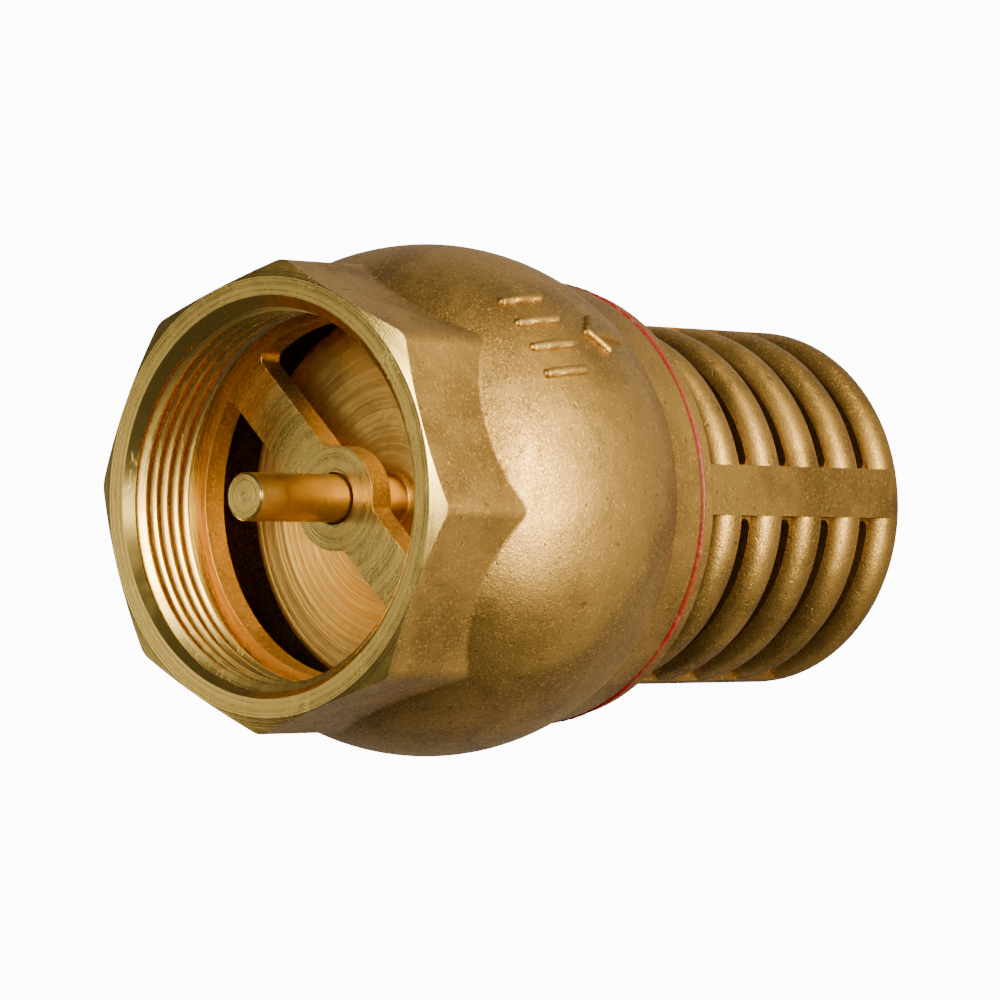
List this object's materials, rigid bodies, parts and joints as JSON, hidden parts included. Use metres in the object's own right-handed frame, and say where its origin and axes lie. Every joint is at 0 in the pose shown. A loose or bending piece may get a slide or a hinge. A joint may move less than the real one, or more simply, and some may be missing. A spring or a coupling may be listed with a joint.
{
  "type": "foot valve",
  "caption": "Brass foot valve for a suction pipe: octagonal threaded outlet over a globe body with a guided lift disc inside, and a slotted strainer basket screwed on below.",
  "frame": {"origin": "centre of the strainer's flat base, where the valve stands", "axes": "+Z along the valve's axis, in the direction of flow, from the base to the outlet; an octagon corner lies on each of X and Y"},
  "size_m": [0.08, 0.08, 0.1265],
  "materials": {
    "cast_brass": "sand-blasted casting with bright turned faces and threads",
    "turned_brass": "turned brass with fine concentric tool marks",
    "red_sealant": "cured thread sealant, slightly uneven",
    "black_rubber": "moulded nitrile rubber, matte",
    "plain_steel": "stainless spring steel"
  },
  "bodies": {
    "valve_body": {"outlet_body": "cast_brass", "joint_sealant": "red_sealant", "strainer_body": "cast_brass"},
    "poppet": {"stem": "turned_brass", "valve_disc": "turned_brass", "seal_ring": "black_rubber", "clamp_plate": "turned_brass", "spring_washer": "plain_steel", "lock_nut": "turned_brass"}
  },
  "joints": [
    {"name": "poppet_lift", "type": "slide", "parent": "valve_body", "child": "poppet", "axis": [0, 0, 1], "range_m": [-0.01295, 0.0083]}
  ]
}
